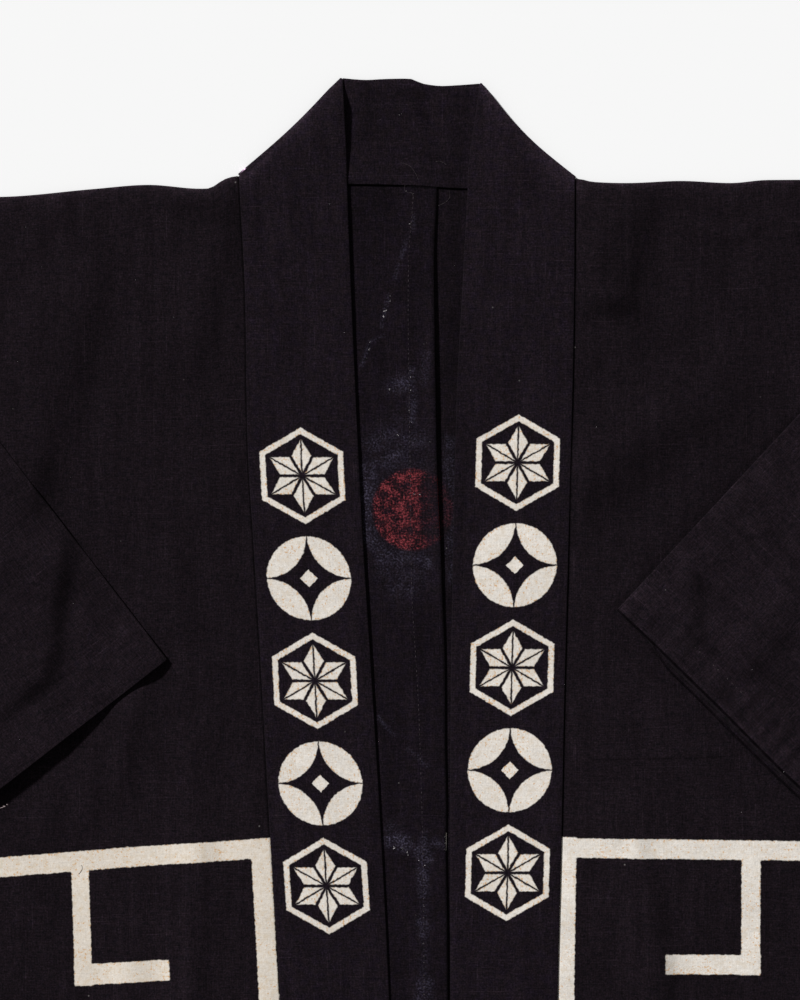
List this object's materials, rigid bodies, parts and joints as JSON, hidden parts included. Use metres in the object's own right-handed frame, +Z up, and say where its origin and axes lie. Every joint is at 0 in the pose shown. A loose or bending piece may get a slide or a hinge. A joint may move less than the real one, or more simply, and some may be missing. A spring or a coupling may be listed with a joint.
{
  "type": "happi coat",
  "caption": "Straight-cut short cotton coat lying flat, front up, with a long neck band and both sleeves folded in over the fronts.",
  "frame": {"origin": "middle of the coat's underside, on the surface that it lies on", "axes": "+X across the shoulders, to the right as seen from above; +Y from hem to collar; +Z up, out of the fronts"},
  "size_m": [0.9186, 0.8388, 0.0092],
  "materials": {
    "body_cloth": "matt plain-weave cotton, almost black, with undyed cream bands",
    "band_cloth": "matt plain-weave cotton, almost black with a violet cast, with undyed cream motifs"
  },
  "bodies": {
    "root": {"body_left": "body_cloth", "body_right": "body_cloth", "sleeve_left": "body_cloth", "sleeve_right": "body_cloth", "collar": "band_cloth"}
  },
  "joints": []
}
